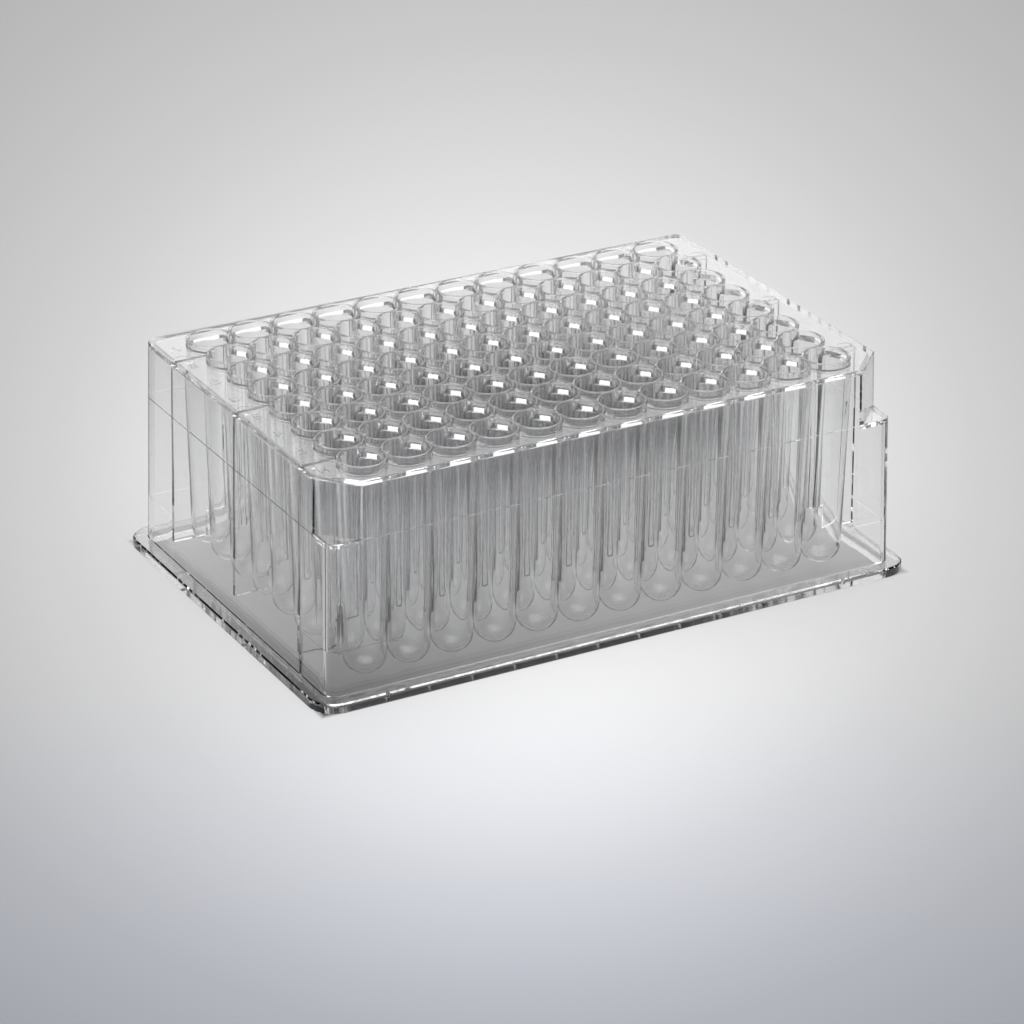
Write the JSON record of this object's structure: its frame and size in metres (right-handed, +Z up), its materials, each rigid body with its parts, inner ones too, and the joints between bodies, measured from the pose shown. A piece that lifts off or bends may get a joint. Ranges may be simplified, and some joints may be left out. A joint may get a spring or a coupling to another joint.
{
  "type": "deep-well plate",
  "caption": "Clear moulded deep-well plate: a grid of round tapered wells with rounded bottoms, raised rims, a drafted skirt on a flange and two notched front corners.",
  "frame": {"origin": "middle of the flat underside of the foot flange", "axes": "+X along the long side, from column 1 to column 12; +Y from the notched long side to the plain one; +Z up, out of the wells"},
  "size_m": [0.1278, 0.0854, 0.0442],
  "materials": {
    "clear_plastic": "clear, glossy, as moulded"
  },
  "bodies": {
    "root": {"well_plate": "clear_plastic"}
  },
  "joints": []
}
